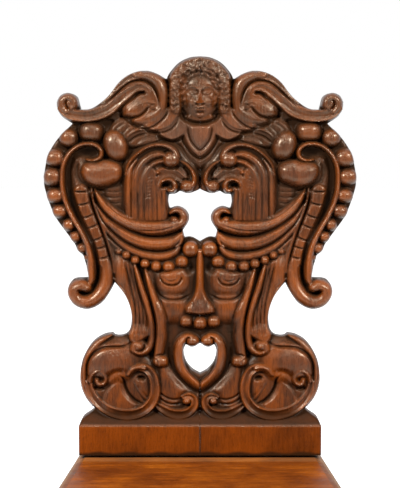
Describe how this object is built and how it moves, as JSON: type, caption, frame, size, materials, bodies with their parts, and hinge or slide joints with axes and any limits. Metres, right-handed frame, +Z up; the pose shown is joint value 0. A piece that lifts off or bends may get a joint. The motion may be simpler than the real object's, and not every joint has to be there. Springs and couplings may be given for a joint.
{
  "type": "hall chair",
  "caption": "Hall chair with a carved scrollwork back, flared plank seat and two shaped leg boards joined by a stretcher.",
  "frame": {"origin": "on the floor, at the middle of the chair's footprint box", "axes": "+Z up, the sitter and the carved side of the back face -Y, +X across the seat"},
  "size_m": [0.485, 0.4572, 1.0797],
  "materials": {
    "oak_carved": "stained and waxed, satin",
    "oak_seat": "stained and waxed, satin",
    "oak_frame": "stained and waxed, satin",
    "oak_inside": "unpolished",
    "iron": "dull"
  },
  "bodies": {
    "root": {"back_board_left": "oak_carved", "back_board_right": "oak_carved", "seat_board": "oak_seat", "front_rail": "oak_frame", "rear_rail": "oak_frame", "side_rail_left": "oak_frame", "side_rail_right": "oak_frame", "front_leg_board": "oak_frame", "rear_leg_board": "oak_frame", "stretcher": "oak_frame", "stretcher_wedge": "oak_frame", "back_peg_left": "oak_frame", "back_peg_right": "oak_frame", "rear_leg_peg_left": "oak_frame", "rear_leg_peg_right": "oak_frame", "front_leg_peg_left": "oak_frame", "front_leg_peg_right": "oak_frame", "corner_block_front_left": "oak_inside", "corner_block_front_right": "oak_inside", "corner_block_rear_left": "oak_inside", "corner_block_rear_right": "oak_inside", "seat_screw_front_left": "iron", "seat_screw_front_right": "iron", "seat_screw_rear_left": "iron", "seat_screw_rear_right": "iron"}
  },
  "joints": []
}
